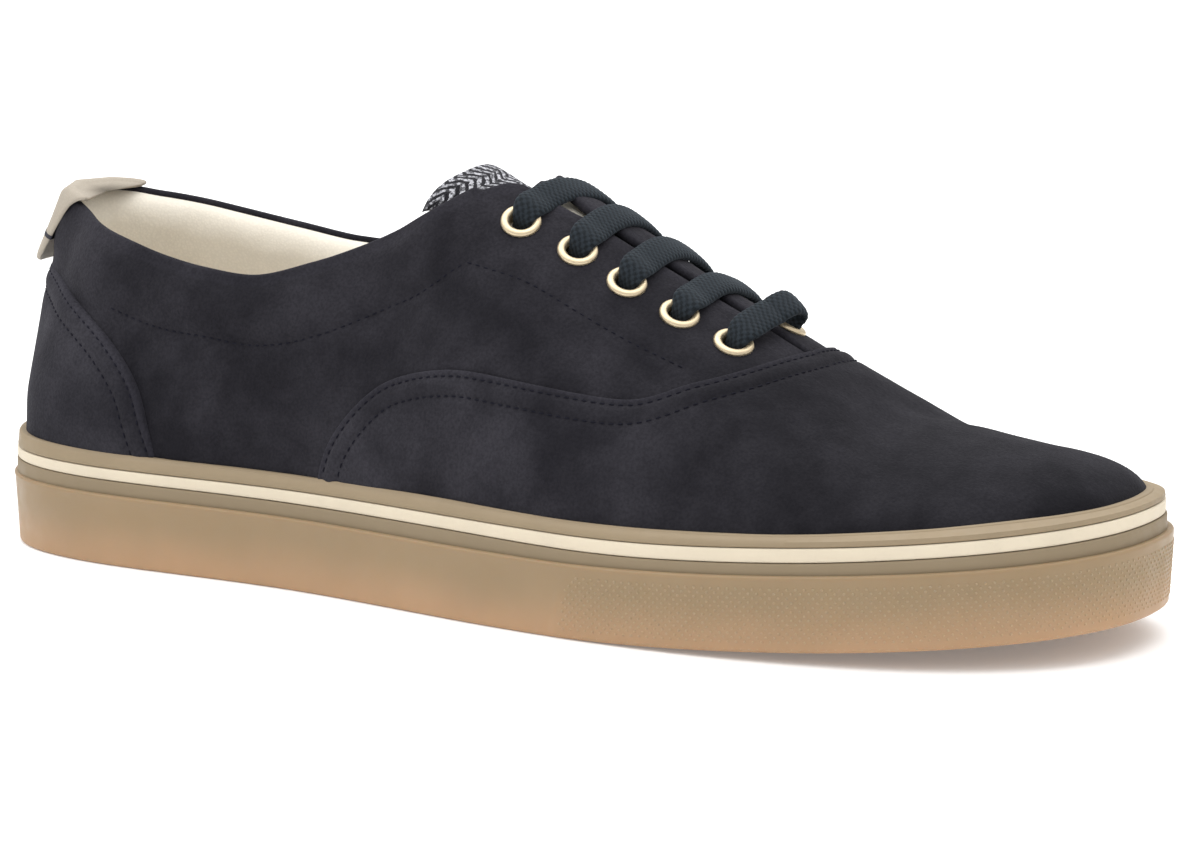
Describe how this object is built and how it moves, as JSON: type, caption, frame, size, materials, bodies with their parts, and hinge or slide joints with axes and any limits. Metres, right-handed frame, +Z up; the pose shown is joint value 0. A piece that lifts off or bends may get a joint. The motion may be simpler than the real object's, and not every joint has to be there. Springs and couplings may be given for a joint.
{
  "type": "sneaker",
  "caption": "Low lace-up sneaker, right shoe: nubuck upper on a gum-rubber cup sole with a striped rubber band, tweed tongue and heel tab.",
  "frame": {"origin": "on the floor, under the middle of the shoe's length and the last's centre line", "axes": "+X towards the toe, +Y towards the medial side, +Z up"},
  "size_m": [0.3, 0.1043, 0.0992],
  "materials": {
    "gum_rubber": "satin, slightly translucent gum",
    "taupe_rubber": "matte",
    "cream_rubber": "matte",
    "navy_nubuck": "brushed, matte",
    "heel_tab_leather": "smooth, matte",
    "tongue_tweed": "woven herringbone",
    "footbed_leather": "smooth, matte",
    "eyelet_metal": "pale gold, satin",
    "lace_cotton": "braided cotton"
  },
  "bodies": {
    "root": {"outsole": "gum_rubber", "foxing": "taupe_rubber", "stripe": "cream_rubber", "upper": "navy_nubuck", "heel_counter": "navy_nubuck", "heel_tab": "heel_tab_leather", "tongue": "tongue_tweed", "insole": "footbed_leather", "lace": "lace_cotton", "eyelet_lateral_1": "eyelet_metal", "eyelet_lateral_2": "eyelet_metal", "eyelet_lateral_3": "eyelet_metal", "eyelet_lateral_4": "eyelet_metal", "eyelet_lateral_5": "eyelet_metal", "eyelet_medial_1": "eyelet_metal", "eyelet_medial_2": "eyelet_metal", "eyelet_medial_3": "eyelet_metal", "eyelet_medial_4": "eyelet_metal", "eyelet_medial_5": "eyelet_metal"}
  },
  "joints": []
}
